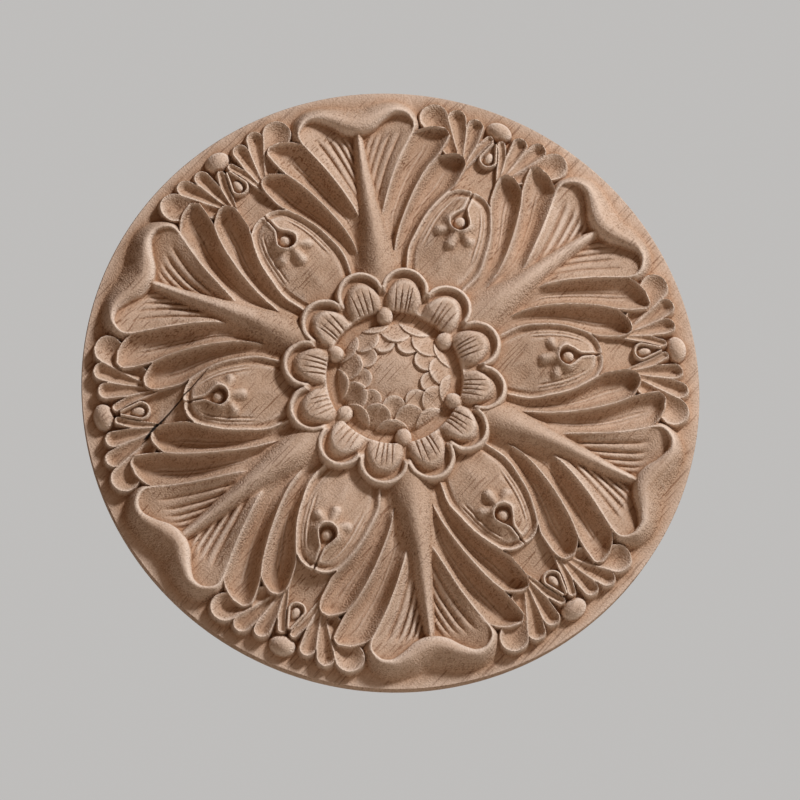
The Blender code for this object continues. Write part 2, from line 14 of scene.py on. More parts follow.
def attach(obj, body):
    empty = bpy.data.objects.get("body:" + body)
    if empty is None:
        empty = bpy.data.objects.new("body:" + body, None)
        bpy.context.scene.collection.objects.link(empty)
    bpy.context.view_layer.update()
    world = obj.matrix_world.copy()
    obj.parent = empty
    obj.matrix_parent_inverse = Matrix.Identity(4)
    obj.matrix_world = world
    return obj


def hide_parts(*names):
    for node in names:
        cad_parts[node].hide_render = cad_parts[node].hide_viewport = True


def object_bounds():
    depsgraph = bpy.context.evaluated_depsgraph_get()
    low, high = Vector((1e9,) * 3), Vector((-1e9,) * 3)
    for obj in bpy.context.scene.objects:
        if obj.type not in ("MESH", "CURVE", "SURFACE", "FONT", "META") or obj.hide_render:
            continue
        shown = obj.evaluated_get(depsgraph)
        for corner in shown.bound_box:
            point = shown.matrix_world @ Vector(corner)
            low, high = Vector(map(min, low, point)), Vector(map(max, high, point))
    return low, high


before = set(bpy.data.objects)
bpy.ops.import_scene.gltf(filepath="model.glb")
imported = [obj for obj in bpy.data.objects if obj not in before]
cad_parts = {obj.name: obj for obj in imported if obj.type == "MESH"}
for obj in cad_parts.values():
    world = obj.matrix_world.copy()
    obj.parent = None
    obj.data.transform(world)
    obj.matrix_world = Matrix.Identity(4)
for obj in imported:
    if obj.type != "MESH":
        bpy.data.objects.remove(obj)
cad_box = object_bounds()

# A millimetre in metres, and the least value that is divided by
MM = 0.001
TINY = 0.01

# Board
DISC_RADIUS = 150.0
BOARD_THICKNESS = 8.0
EDGE_CHAMFER = 0.4

# The carving repeats every sector, mirrored about each leaf's middle line
SECTOR = 60.0
HALF_SECTOR = SECTOR / 2

# Pairs below are (distance from the centre, size) unless they say otherwise, and heights are above the
# board. A shape is the two powers that round a profile: of the share of the way across, then of the rest.
# Beads and balls are (half width, half length, height).

# Rib down the middle of a large leaf
RIB_HALF_WIDTH = ((50, 9.9), (64, 8.8), (80, 6.0), (88, 5.1), (106, 4.0), (118, 3.2), (128, 2.4))
RIB_CREST = ((50, 15.6), (65, 16.6), (80, 15.6), (90, 13.8), (100, 11.2), (110, 8.6), (124, 6.2))
RIB_FOOT = ((50, 11.2), (66, 10.2), (84, 10.0), (97, 7.6), (111, 3.6), (121, 2.2), (132, 2.0))
RIB_END = 130.0
RIB_SHAPE = (1.9, 1.1)
RIB_ROUNDING = 0.3

# Ridges between a leaf's hollows: (distance, degrees off the leaf's middle), then the height of each
RIDGE_1 = ((84, 3.8), (97, 6.6), (109, 9.0), (119, 11.0), (127, 12.5), (133, 13.2))
RIDGE_1_CREST = ((84, 11.6), (95, 12.1), (106, 10.4), (115, 8.6), (122, 7.4), (133, 6.8))
RIDGE_2 = ((64, 7.9), (72, 8.9), (89, 12.5), (97, 14.3), (110, 17.3), (117, 19.1), (124, 20.1), (130, 20.6))
RIDGE_2_CREST = ((64, 11.6), (80, 13.0), (90, 12.8), (102, 11.4), (112, 9.4), (122, 7.8), (132, 6.8))
RIDGE_3 = ((56, 14.4), (64, 14.0), (77, 16.7), (85, 18.8), (92, 21.2), (98, 23.4), (103, 24.9), (112, 25.7))
RIDGE_3_CREST = ((56, 12.2), (64, 12.2), (77, 13.6), (88, 13.2), (98, 11.6), (110, 9.4), (120, 8.4))
RIDGE_RISE = 2.0
RIDGE_MARGIN = 1.0

# Floors of the two hollows, and where their rounded tips end: (-1 on the rib's side to 1, distance)
HOLLOW_1_FLOOR = ((66, 9.6), (84, 7.6), (92, 5.4), (103, 2.4), (112, 1.0), (121, 0.7))
HOLLOW_2_FLOOR = ((60, 9.6), (70, 8.7), (79, 7.4), (89, 5.4), (99, 2.9), (108, 1.3), (118, 1.0))
HOLLOW_1_TIP = ((-1, 127), (-0.6, 130.2), (0.1, 132.6), (0.6, 132.8), (0.9, 131), (1, 129.5))
HOLLOW_2_TIP = ((-1, 116), (-0.5, 118.6), (0.1, 120.2), (0.6, 119.6), (0.9, 117.4), (1, 115.5))

# Each hollow is gouged down from both ridges to a foot at this share of its width from the rib's side
HOLLOW_FOOT = 0.55
HOLLOW_WALL_POWER = 2.2
END_WALL = 6.0
END_WALL_POWER = 2.2
FOOT_ROUNDING = 0.06
TIP_ROUNDING = 0.3
LEAF_EDGE_WALL = 2.4
SCARP_POWER = 1.5

# Fine creases in each hollow: (share of its width, depth), and the width of the hollow and the distance
# from its tip over which they grow
HOLLOW_CREASES = ((0.30, 0.25), (0.42, 0.32), (0.55, 0.55))
HOLLOW_CREASE_WIDTH = (2.5, 6.0)
HOLLOW_CREASE_END = (6.0, 14.0)
CREASE_HALF_WIDTH = 0.9

# Reeds of the panel beside the rib: the lines between them, by their distance from the first ridge
REED_LINES = (0.0, 5.8, 10.2, 13.6, 16.6, 19.2)
REED_LINE_DEPTHS = (0.0, 1.4, 1.5, 1.4, 1.2, 1.0)
REED_SPREAD = ((90, 0.7), (103, 0.87), (112, 1.0), (124, 1.15))
REED_CURVE = 2.2
REED_START = (90.0, 97.0)
REED_END = (122.0, 130.0)
REED_UNEVEN = 0.3
REED_WANDER = 0.6
REED_WAVE = 45.0
PANEL_POWER = 1.6

# Rolled lip over a large leaf's tip: (sideways, along the leaf), with its height and widths there
LIP = ((-6, 132.7), (0, 131.4), (6, 132.7), (12, 135.6), (19.3, 137.6), (25, 136), (28.4, 132), (29.2, 128),
       (27, 123))
LIP_CREST = (9.6, 9.8, 9.6, 9.2, 8.8, 8.5, 8.2, 7.7, 7.0)
LIP_INNER_WIDTH = (6.0, 6.0, 5.6, 4.6, 3.2, 2.2, 1.7, 1.5, 1.2)
LIP_OUTER_WIDTH = (12.0, 12.0, 11.5, 9.5, 7.5, 6.2, 5.2, 4.4, 3.0)
LIP_INNER_SHAPE = (2.8, 0.6)
LIP_OUTER_SHAPE = (1.6, 1.4)
LIP_REACH = ((0, 132), (4.1, 136), (7.9, 139), (10.4, 138), (12.2, 135), (13, 131.5), (13.6, 128))

# Seed pod between two leaves; "along" is measured on the line midway between them
POD_TIP = ((14, 96), (24, 99.0), (26, 101.0), (28, 102.0), (29.3, 102.2), (30, 101.6))
POD_TIP_ROUNDING = 1.6
POD_GROOVE_IN = 2.8
POD_GROOVE_DEPTH = 2.2
POD_GROOVE_RISE = (2.6, 4.6)
POD_CREASES_IN = (4.6, 6.6)
POD_CREASE_DEPTH = 0.7
POD_CREASE_SPAN = (66.0, 96.0)
POD_CREASE_FADE = 6.0
POD_EDGE_WALL = 2.4
POD_MIDDLE = ((50, 10.4), (56, 11.0), (62, 12.0), (70, 12.4), (82, 12.8), (90, 12.2), (101, 10.5))
POD_HALF_WIDTH = ((55, 15.0), (76, 15.0), (88, 11.5), (95, 8.0), (101, 4.0))
POD_SIDE_POWER = 1.8
DIMPLE_PLACE = (5.5, 61.5)
DIMPLE_RADIUS = 4.6
DIMPLE_DEPTH = 0.8

# Knob that carries the eye, and the blunt toes that spread from it towards the flower
KNOB_TOP = ((76, 16.6), (80, 16.6), (85, 16.0), (90, 14.2), (95, 11.9), (101, 10.5))
KNOB_HALF_WIDTH = ((78, 7.6), (82, 9.6), (85, 9.8), (90, 7.8), (96, 5.4), (101, 4.0))
KNOB_FRONT = 77.2
KNOB_WALL = 4.0
KNOB_ROUNDING = 5.0
Toe = namedtuple("Toe", "start end half_width height")
TOES = (Toe((0.0, 79.0), (0.0, 73.4), 3.9, 3.7), Toe((4.0, 80.0), (7.6, 78.0), 3.5, 3.2))
TOE_CURVE = 1.1
TOE_ROUNDING = 2.2

EYE_ALONG = 85.0
EYE_RADIUS = 4.6
EYE_NECK = ((85, 4.6), (87.5, 3.4), (90, 1.7), (92.5, 0.6), (103, 0.45))
EYE_FLOOR = 11.6
EYE_RIM_HEIGHT = 0.9
EYE_RIM_OUT = 0.5
EYE_RIM_WIDTH = 0.9
EYE_RIM_END = 103.0
EYE_RIM_FADE = 3.0
EYE_WALL = 0.7
EYE_BEAD_RADIUS = 2.9
SLIT_START = 93.0
SLIT_DEPTH = 1.5

# Small leaf behind the seed pod. The lobes lie beside a large leaf's middle line, (sideways, along) from
# the centre, and the finger in the same way beside the line midway between two leaves.
SMALL_GROUND = ((90, 9.0), (101, 8.0), (108, 5.8), (114, 4.2), (122, 3.2), (133, 2.4))
SMALL_REACH = ((101, 22.0), (110, 17.0), (120, 12.0), (130, 7.0), (134, 3.0))
SMALL_END = 131.0
SMALL_FADE = 3.0
Lobe = namedtuple("Lobe", "spine half_width crest")
SMALL_LOBES = (
    Lobe(((47.5, 104.0), (44.0, 118.0), (39.4, 131.6)), (1.6, 5.0, 6.9), (6.6, 6.2, 5.6)),
    Lobe(((48.0, 104.0), (49.8, 118.0), (50.4, 130.2)), (1.4, 3.6, 4.2), (6.8, 6.2, 5.4)),
    Lobe(((48.8, 104.0), (54.0, 115.5), (58.4, 124.8)), (1.4, 3.4, 3.8), (7.0, 6.4, 5.6)),
)
FINGER = Lobe(((9.0, 113.0), (7.5, 120.0), (5.9, 127.0), (3.2, 133.6)), (0.9, 1.6, 1.9, 1.8),
              (7.0, 6.6, 6.2, 6.0))
LOBE_DEPTH = 3.4
LOBE_DEPTH_SHARE = 0.9
LOBE_CURVE = 1.6
LOBE_EDGE_WALL = 1.7

VOLUTE_ALONG = 122.8
VOLUTE_RADIUS = 4.0
VOLUTE_HALF_WIDTH = 1.25
VOLUTE_TAPER = 0.34
VOLUTE_END = 132.5
VOLUTE_CREST = 7.2
VOLUTE_FLOOR = 4.2
VOLUTE_BEAD_ALONG = 123.8
VOLUTE_BEAD = (2.2, 3.4, 2.2)

BALL_ALONG = 140.2
BALL_SIZE = (6.8, 5.1, 6.4)

# Ring of twelve petals round the centre
PETAL_SPACING = 30.0
PETAL_CENTRE = 43.0
PETAL_RADIUS = 11.3
PETAL_RIM_TOP = 16.2
PETAL_CUSP_RISE = 0.9
PETAL_CUSP_SHARE = 0.14
PETAL_RIM_IN = 1.2
PETAL_RIM_HALF_WIDTH = 1.9
PETAL_RIM_ROUND = 0.6
PETAL_RIM_START = (39.5, 44.0)
PETAL_OUTER_SLOPE = 4.0
PETAL_TROUGH = 12.8
PETAL_TOP = ((32, 13.0), (35, 15.2), (38, 16.5), (42, 17.0), (46, 16.6), (49, 15.4))
PETAL_INSET = (1.0, 4.4)
PETAL_NARROWS = (38.0, 47.0)
PETAL_WALL = 4.4
PETAL_CURVE = 2.4
PETAL_INNER_EDGE = (32.0, 33.2)
PETAL_CUTS = (-5.6, -1.9, 1.9, 5.6)
PETAL_CUT_HALF_WIDTH = ((33, 1.1), (38, 0.7), (47, 0.3))
PETAL_CUT_DEPTH = 1.2
PETAL_CUT_END = (38.0, 47.0)

# Sunk ring inside the petals, with a bead on each leaf's middle line
RING_FLOOR = 9.6
BEAD_ALONG = 30.4
BEAD_SIZE = (3.9, 4.7, 4.3)
BEAD_BASE = 11.4

# Domed boss with three rows of scales, their round tips towards its smooth middle
BOSS_RADIUS = 27.8
BOSS_DOME = ((0, 17.8), (6, 17.5), (11, 16.5), (15.5, 15.5), (20, 14.2), (24, 12.4), (26, 11.0), (27.8, 8.4))
SCALE_SPACING = 40.0
ScaleRow = namedtuple("ScaleRow", "tip radius turn step")
SCALE_ROWS = (ScaleRow(11.0, 5.6, 20.0, 1.7), ScaleRow(15.6, 7.7, 0.0, 0.9), ScaleRow(21.6, 9.6, 20.0, 0.9))
SCALE_SIDE_SHARE = 0.75
SCALE_EDGE = 0.55
SCALE_FALL = 0.9
SCALE_RUN = 7.0

# The carver's hand: how far lines wander, the low marks of the tools, and the seeds of its chances
WAVES = 6
WAVE_STRETCH = (0.7, 1.4)
WANDER = 0.4
WANDER_LENGTH = 70.0
WANDER_END = (140.0, 148.0)
TOOL_MARK = 0.06
TOOL_MARK_LENGTH = 7.0
MARKED_HEIGHT = 2.0
SCALE_WANDER = 0.7
CUT_WANDER = 0.9
CUT_UNEVEN = (0.75, 1.2)
WANDER_SEEDS = (1, 2)
TOOL_MARK_SEED = 3
REED_SEEDS = (4, 5)
CUT_SEED = 5
SCALE_SEED = 11

# Grain direction, and the glue lines between the board's staves, measured across the grain
GRAIN_TURN = 40.5
STAVE_WIDTH = 48.7
STAVE_FIRST_LINE = 20.0
CRACK_LINE = 68.7
CRACK_MIDDLE = -95.0
CRACK_HALF_LENGTH = 5.0
CRACK_HALF_WIDTH = 0.8
HAIRLINE_HALF_WIDTH = 0.17
HAIRLINE_START = (-108.0, -102.0)
HAIRLINE_END = (-72.0, -42.0)
CRACK_DEPTH = 1.8

# Mesh: cells across the disc before thinning, the triangles kept, and the angle that makes an arris
CELLS = 720
TRIANGLES = 190000
SHARP_ANGLE = 34.0

# How far round a point its surroundings are averaged, in cells, and the height over or under them that
# makes it all arris or all recess; the arrises get a painted highlight and the recesses painted shade
ARRIS_REACH = 3
ARRIS_HEIGHT = 0.4
RECESS_REACH = 10
RECESS_DEPTH = 3.0

# Wood: its colours, the tints that darken them, and the painted highlight and painted shade laid on arrises
# and recesses
WOOD_DEEP = (0.465, 0.312, 0.207, 1)
WOOD_PALE = (0.55, 0.387, 0.272, 1)
# Painted highlight: pale cream blended over the arrises, standing in for light catching their crisp edges
PAINTED_ARRIS_HIGHLIGHT = (0.79, 0.645, 0.515, 1)
ARRIS_HIGHLIGHT_SHARE = 0.65
CRACK_COLOUR = (0.035, 0.022, 0.015, 1)
STAVE_TINT = (0.93, 0.91, 0.89, 1)
STREAK_TINT = (0.89, 0.85, 0.81, 1)
VESSEL_TINT = (0.60, 0.50, 0.42, 1)
TORN_TINT = (0.70, 0.64, 0.58, 1)
# Painted shade: a warm darkening multiplied into the recesses
PAINTED_RECESS_SHADE = (0.86, 0.69, 0.54, 1)
GLUE_TINT = (0.88, 0.84, 0.80, 1)

# Distance from a glue line, and opening of the crack from 0 to 1, over which their colours change
GLUE_HALF_WIDTH = (0.12, 0.3)
OPEN_CRACK = (0.35, 0.75)

# Patterns in the wood: how often each repeats in a metre along the grain, across it and through the
# board, its detail and roughness, and the stretch of its values that shows
Pattern = namedtuple("Pattern", "scale detail roughness low high")
CLOUDS = Pattern((9.0, 22.0, 22.0), 3.0, 0.5, 0.35, 0.65)
STREAKS = Pattern((14.0, 420.0, 300.0), 4.0, 0.6, 0.48, 0.72)
VESSELS = Pattern((50.0, 1150.0, 900.0), 1.0, 0.3, 0.60, 0.68)
CLUSTERS = Pattern((25.0, 60.0, 60.0), 2.0, 0.5, 0.38, 0.62)
FIBRES = Pattern((120.0, 1100.0, 900.0), 2.0, 0.5, 0.0, 1.0)
SPECKLE = Pattern((1150.0, 1150.0, 1150.0), 1.0, 0.5, 0.50, 0.66)
VESSELS_BETWEEN_CLUSTERS = 0.3

# Gloss, and the heights of the finest relief in mm
ROUGHNESS = (0.70, 0.90)
ROUGHNESS_SPECKLE = (0.3, 0.7)
SPECULAR = 0.25
TORN_HEIGHT = 0.85
FIBRE_HEIGHT = 0.12
VESSEL_DEPTH = 0.12

# Share of the torn fibres left on flat wood, and how squarely steep and flat wood face the front
FLAT_FUZZ = 0.45
FACING_FRONT = (0.6, 0.98)

# Camera: where the photo was taken from, off the face's own direction
CAMERA_TILT = 16.13
CAMERA_TOWARDS = 74.66
CAMERA_ROLL = 7.51
CAMERA_DISTANCE = 1.586
CAMERA_OFFSET = (0.00365, -0.00775)
CAMERA_LENS = 147.4
SENSOR_WIDTH = 36.0

# Light: a soft key from the upper right, and an even pale surround
KEY_DIRECTION = (0.622, -0.566, 0.541)
KEY_DISTANCE = 2.6
KEY_SIZE = 0.38
KEY_POWER = 79.0
KEY_COLOUR = (0.96, 1.0, 1.08)
ROOM_BEHIND = (0.52, 0.51, 0.50, 1.0)
ROOM_IN_FRONT = (0.130, 0.060, 0.024, 1.0)
ROOM_CHANGES = (-0.2, 0.7)
FLOOR_LEVEL = -0.8
FLOOR_HALF_SIZE = 6.0
FLOOR_COLOUR = (0.62, 0.56, 0.49, 1.0)
FLOOR_ROUGHNESS = 0.9

Place = namedtuple("Place", "x y r a u v s t")


def ease(x):
    """0 below 0 and 1 above 1, with a smooth step between."""
    x = np.clip(x, 0, 1)
    return x * x * (3 - 2 * x)


def rising(x, span):
    """0 before a span's start and 1 after its end, with a smooth step between."""
    start, end = span
    return ease((x - start) / (end - start))


def curve(x, knots):
    """Smooth line through given (x, y) pairs that never overshoots them, level past both ends."""
    kx, ky = (np.array(column, float) for column in zip(*knots))
    slope = np.diff(ky) / np.diff(kx)
    tangent = np.zeros(len(kx))
    same_way = slope[:-1] * slope[1:] > 0
    tangent[1:-1][same_way] = 2 * (slope[:-1] * slope[1:])[same_way] / (slope[:-1] + slope[1:])[same_way]
    tangent[0], tangent[-1] = slope[0], slope[-1]
    x = np.clip(x, kx[0], kx[-1])
    i = np.clip(np.searchsorted(kx, x) - 1, 0, len(kx) - 2)
    width = kx[i + 1] - kx[i]
    f = (x - kx[i]) / width
    start = (1 + 2 * f) * (1 - f) ** 2 * ky[i] + f * (1 - f) ** 2 * width * tangent[i]
    end = f * f * (3 - 2 * f) * ky[i + 1] + f * f * (f - 1) * width * tangent[i + 1]
    return start + end


def join(a, b, rounding):
    """The higher of two surfaces, with the crease where they meet filled a little."""
    return np.maximum(a, b) + np.maximum(rounding - np.abs(a - b), 0) ** 2 / (4 * rounding)


def nearer(a, b, rounding):
    """The smaller of two distances, rounded where they are alike."""
    return np.minimum(a, b) - np.maximum(rounding - np.abs(a - b), 0) ** 2 / (4 * rounding)


def fold(x, y):
    """A point's place in its half sector.

    r is its distance from the centre and a its angle off the nearest leaf's middle line; u and v are
    its place sideways from that line and along it, s and t the same for the line between two leaves.
    """
    r = np.hypot(x, y)
    a = np.abs((np.degrees(np.arctan2(x, y)) + HALF_SECTOR) % SECTOR - HALF_SECTOR)
    near, far = np.radians(a), np.radians(HALF_SECTOR - a)
    return Place(x, y, r, a, r * np.sin(near), r * np.cos(near), r * np.sin(far), r * np.cos(far))


def path_points(knots, steps=8):
    """Points of a smooth path through the knots, with each one's place counted in knots."""
    p = np.array(knots, float)
    p = np.vstack([2 * p[0] - p[1], p, 2 * p[-1] - p[-2]])
    points = []
    for a, b, c, d in zip(p[:-3], p[1:-2], p[2:-1], p[3:]):
        for f in np.arange(steps) / steps:
            points.append(0.5 * (2 * b + (c - a) * f + (2 * a - 5 * b + 4 * c - d) * f ** 2
                                 + (3 * b - 3 * c + d - a) * f ** 3))
    points.append(p[-2])
    return np.array(points), np.linspace(0, len(knots) - 1, len(points))


def nearest(u, v, knots):
    """Each point's distance to a path, the place along it counted in knots, and its side, 1 on the left."""
    points, places = path_points(knots)
    distance = np.full(u.shape, np.inf)
    place = np.zeros(u.shape)
    side = np.zeros(u.shape)
    for start, end, first, last in zip(points[:-1], points[1:], places[:-1], places[1:]):
        along = end - start
        f = np.clip(((u - start[0]) * along[0] + (v - start[1]) * along[1]) / (along @ along), 0, 1)
        d = np.hypot(u - start[0] - f * along[0], v - start[1] - f * along[1])
        closer = d < distance
        distance = np.where(closer, d, distance)
        place = np.where(closer, first + f * (last - first), place)
        side = np.where(closer, np.sign(along[0] * (v - start[1]) - along[1] * (u - start[0])), side)
    return distance, place, side


def half_ball(across, along, radius):
    """Height of a half ball over its own middle, 0 outside it."""
    return np.sqrt(np.maximum(radius ** 2 - across ** 2 - along ** 2, 0))


def wander(x, y, seed, length, size):
    """Slow, even unevenness over the disc, always the same for one seed."""
    rng = np.random.default_rng(seed)
    least, most = WAVE_STRETCH
    total = np.zeros(np.shape(x))
    for turn, phase, stretch in rng.uniform((0, 0, least), (2 * np.pi, 2 * np.pi, most), (WAVES, 3)):
        total += np.sin((x * np.cos(turn) + y * np.sin(turn)) * 2 * np.pi / (length * stretch) + phase)
    return total * size / np.sqrt(WAVES)


def drop(distance, width, power):
    """How far down to the floor a gouged wall has come at a distance from its crest, from 0 to 1."""
    return 1 - (1 - np.clip(distance / np.maximum(width, TINY), 0, 1)) ** power


def scarp(distance, width):
    """Share of a crest's height left at a distance outside its crisp edge, from 1 down to 0."""
    return (1 - np.clip(distance / width, 0, 1)) ** SCARP_POWER


def crease(distance):
    """Depth of a narrow crease at a distance from its line, 1 on the line."""
    return ease(1 - np.abs(distance) / CREASE_HALF_WIDTH)


def hollow(p, low, high, tip, low_crest, high_crest, floor):
    """Gouged hollow between two ridges, with crisp crests; its height, and the distance inside its edge."""
    to_mm = np.radians(1) * p.r
    span = np.maximum(high - low, TINY)
    width = span * to_mm
    share = np.clip((p.a - low) / span, 0, 1)
    side = np.minimum(p.a - low, high - p.a) * to_mm
    end = curve(2 * share - 1, tip) - p.r
    edge = np.minimum(side, end)
    down = nearer(drop(share, HOLLOW_FOOT, HOLLOW_WALL_POWER),
                  drop(1 - share, 1 - HOLLOW_FOOT, HOLLOW_WALL_POWER), FOOT_ROUNDING)
    down = nearer(down, drop(end, END_WALL, END_WALL_POWER), TIP_ROUNDING)
    crest = low_crest + (high_crest - low_crest) * share
    surface = crest - (crest - floor) * np.maximum(down, 0)

    size = rising(width, HOLLOW_CREASE_WIDTH) * rising(end, HOLLOW_CREASE_END)
    for place, depth in HOLLOW_CREASES:
        surface = surface - depth * size * crease((share - place) * width)
    return np.where(edge < 0, crest * scarp(-edge, LEAF_EDGE_WALL), surface), edge


def rib(p, foot):
    """Rounded rib down a large leaf's middle; 0 beside it."""
    across = np.clip(p.u / curve(p.r, RIB_HALF_WIDTH), 0, 1)
    power, rounding = RIB_SHAPE
    height = foot + (curve(p.r, RIB_CREST) - foot) * (1 - across ** power) ** rounding
    return np.where((across < 1) & (p.v < RIB_END), height, 0)


def lip(p):
    """Roll of wood that curls over a large leaf's tip."""
    distance, place, side = nearest(p.u, p.v, LIP)
    knots = np.arange(len(LIP))
    profile = []
    for widths, (power, rounding) in ((LIP_INNER_WIDTH, LIP_INNER_SHAPE), (LIP_OUTER_WIDTH, LIP_OUTER_SHAPE)):
        across = np.clip(distance / np.interp(place, knots, widths), 0, 1)
        profile.append((1 - across ** power) ** rounding)
    inner, outer = profile
    return np.interp(place, knots, LIP_CREST) * np.where(side > 0, outer, inner)


def reeds(p, from_ridge):
    """Depth of the rounded reeds beside the first ridge under the panel: most in the lines between them."""
    wander_seed, depth_seed = REED_SEEDS
    from_ridge = from_ridge / curve(p.r, REED_SPREAD)
    aside = wander(p.x, p.y, wander_seed, REED_WAVE, REED_WANDER) * ease(from_ridge / REED_LINES[1])
    place = np.interp(from_ridge + aside, REED_LINES, np.arange(len(REED_LINES)))
    depth = np.interp(place, np.arange(len(REED_LINES)), REED_LINE_DEPTHS)
    across = 2 * np.abs(place - np.floor(place) - 0.5)
    size = rising(p.r, REED_START) * (1 - rising(p.r, REED_END))
    size = size * (1 + wander(p.x, p.y, depth_seed, REED_WAVE, REED_UNEVEN))
    return depth * across ** REED_CURVE * size


def large_leaf(p):
    """Half a large leaf: its rib, the panel under its lip and its two hollows; and where it covers."""
    foot = curve(p.r, RIB_FOOT)
    rib_edge = np.degrees(curve(p.r, RIB_HALF_WIDTH) / np.maximum(p.r, 1))
    line_1, line_2, line_3 = (curve(p.r, ridge) for ridge in (RIDGE_1, RIDGE_2, RIDGE_3))
    crest_1, crest_2, crest_3 = (curve(p.r, c) for c in (RIDGE_1_CREST, RIDGE_2_CREST, RIDGE_3_CREST))
    # where a ridge has not yet parted from the rib, the hollow beside it starts at the rib's foot
    start_1 = foot + (crest_1 - foot) * ease((line_1 - rib_edge) / RIDGE_RISE)
    start_2 = foot + (crest_2 - foot) * ease((line_2 - rib_edge) / RIDGE_RISE)
    line_1 = np.maximum(line_1, rib_edge)
    line_2 = np.maximum(line_2, line_1)
    line_3 = np.maximum(line_3, line_2)

    share = np.clip((p.a - rib_edge) / np.maximum(line_1 - rib_edge, TINY), 0, 1)
    panel = foot + (start_1 - foot) * share ** PANEL_POWER
    panel = panel - reeds(p, np.radians(line_1 - p.a) * p.r)
    on_panel = (p.a < line_1) & (p.r < curve(p.a, LIP_REACH))
    hollow_1, edge_1 = hollow(p, line_1, line_2, HOLLOW_1_TIP, start_1, start_2, curve(p.r, HOLLOW_1_FLOOR))
    hollow_2, edge_2 = hollow(p, line_2, line_3, HOLLOW_2_TIP, start_2, crest_3, curve(p.r, HOLLOW_2_FLOOR))

    height = np.where(p.a > line_1 - RIDGE_MARGIN, np.maximum(hollow_1, hollow_2), 0)
    height = np.where(edge_1 > 0, hollow_1, np.where(edge_2 > 0, hollow_2, height))
    height = np.where(on_panel, panel, height)
    height = join(height, rib(p, foot), RIB_ROUNDING)
    return np.maximum(height, lip(p)), on_panel | (edge_1 > 0) | (edge_2 > 0)


def eye_wall(p):
    """Distance outside the drop-shaped eye, negative inside it."""
    round_end = np.hypot(p.s, p.t - EYE_ALONG) - EYE_RADIUS
    return np.where(p.t < EYE_ALONG, round_end, p.s - curve(p.t, EYE_NECK))


def knob(p):
    """Height of a seed pod's knob and its toes over the pod's own surface."""
    inside = nearer(curve(p.t, KNOB_HALF_WIDTH) - p.s, p.t - KNOB_FRONT, KNOB_ROUNDING)
    top = curve(p.t, KNOB_TOP) - curve(p.t, POD_MIDDLE)
    height = top * ease(inside / KNOB_WALL)
    for toe in TOES:
        share = np.clip(nearest(p.s, p.t, (toe.start, toe.end))[0] / toe.half_width, 0, 1)
        height = join(height, toe.height * (1 - share ** 2) ** TOE_CURVE, TOE_ROUNDING)
    return height


def seed_pod(p):
    """The pod between two large leaves, with its knob, eye and slit; and where it covers."""
    crest = curve(p.r, RIDGE_3_CREST)
    side = np.radians(p.a - curve(p.r, RIDGE_3)) * p.r
    end = curve(p.a, POD_TIP) - p.r
    edge = nearer(side, end, POD_TIP_ROUNDING)
    groove = crest - POD_GROOVE_DEPTH

    middle = curve(p.t, POD_MIDDLE)
    across = np.clip(p.s / curve(p.t, POD_HALF_WIDTH), 0, 1)
    body = np.maximum(middle - (middle - groove) * across ** POD_SIDE_POWER, groove) + knob(p)
    dimple_across, dimple_along = DIMPLE_PLACE
    from_dimple = np.hypot(p.s - dimple_across, p.t - dimple_along) / DIMPLE_RADIUS
    body = body - DIMPLE_DEPTH * np.exp(-from_dimple ** 2)
    start, end_of_crease = POD_CREASE_SPAN
    fade = ease((p.t - start) / POD_CREASE_FADE) * ease((end_of_crease - p.t) / POD_CREASE_FADE)
    for inwards in POD_CREASES_IN:
        body = body - POD_CREASE_DEPTH * fade * crease(edge - inwards)
    rim = crest - POD_GROOVE_DEPTH * ease(edge / POD_GROOVE_IN)
    height = rim + (body - rim) * rising(edge, POD_GROOVE_RISE)

    wall = eye_wall(p)
    raised = EYE_RIM_HEIGHT * np.exp(-((wall - EYE_RIM_OUT) / EYE_RIM_WIDTH) ** 2)
    height = height + raised * ease((EYE_RIM_END - p.t) / EYE_RIM_FADE)
    floor = np.where(p.t > SLIT_START, height - SLIT_DEPTH, EYE_FLOOR)
    height = height + (floor - height) * (1 - ease(wall + EYE_WALL))
    bead = EYE_FLOOR + half_ball(p.s, p.t - EYE_ALONG, EYE_BEAD_RADIUS)
    height = np.maximum(height, np.where(bead > EYE_FLOOR, bead, 0))

    outside = np.minimum(side, end)
    return np.where(outside < 0, crest * scarp(-outside, POD_EDGE_WALL), height), outside > 0


def small_lobes(p):
    """Spoon-shaped lobes of a small leaf: gouges that share crisp crests where they meet."""
    share, top, depth, outside = (np.full(p.r.shape, value) for value in (np.inf, 0.0, 0.0, np.inf))
    for lobe in SMALL_LOBES + (FINGER,):
        across, along = (p.s, p.t) if lobe is FINGER else (p.u, p.v)
        distance, place, _ = nearest(across, along, lobe.spine)
        knots = np.arange(len(lobe.spine))
        half_width = np.interp(place, knots, lobe.half_width)
        nearest_yet = distance / half_width < share
        share = np.where(nearest_yet, distance / half_width, share)
        top = np.where(nearest_yet, np.interp(place, knots, lobe.crest), top)
        depth = np.where(nearest_yet, np.minimum(LOBE_DEPTH, LOBE_DEPTH_SHARE * half_width), depth)
        outside = np.minimum(outside, distance - half_width)
    inside = top - depth * (1 - np.clip(share, 0, 1) ** LOBE_CURVE)
    return np.where(outside < 0, inside, top * scarp(outside, LOBE_EDGE_WALL))


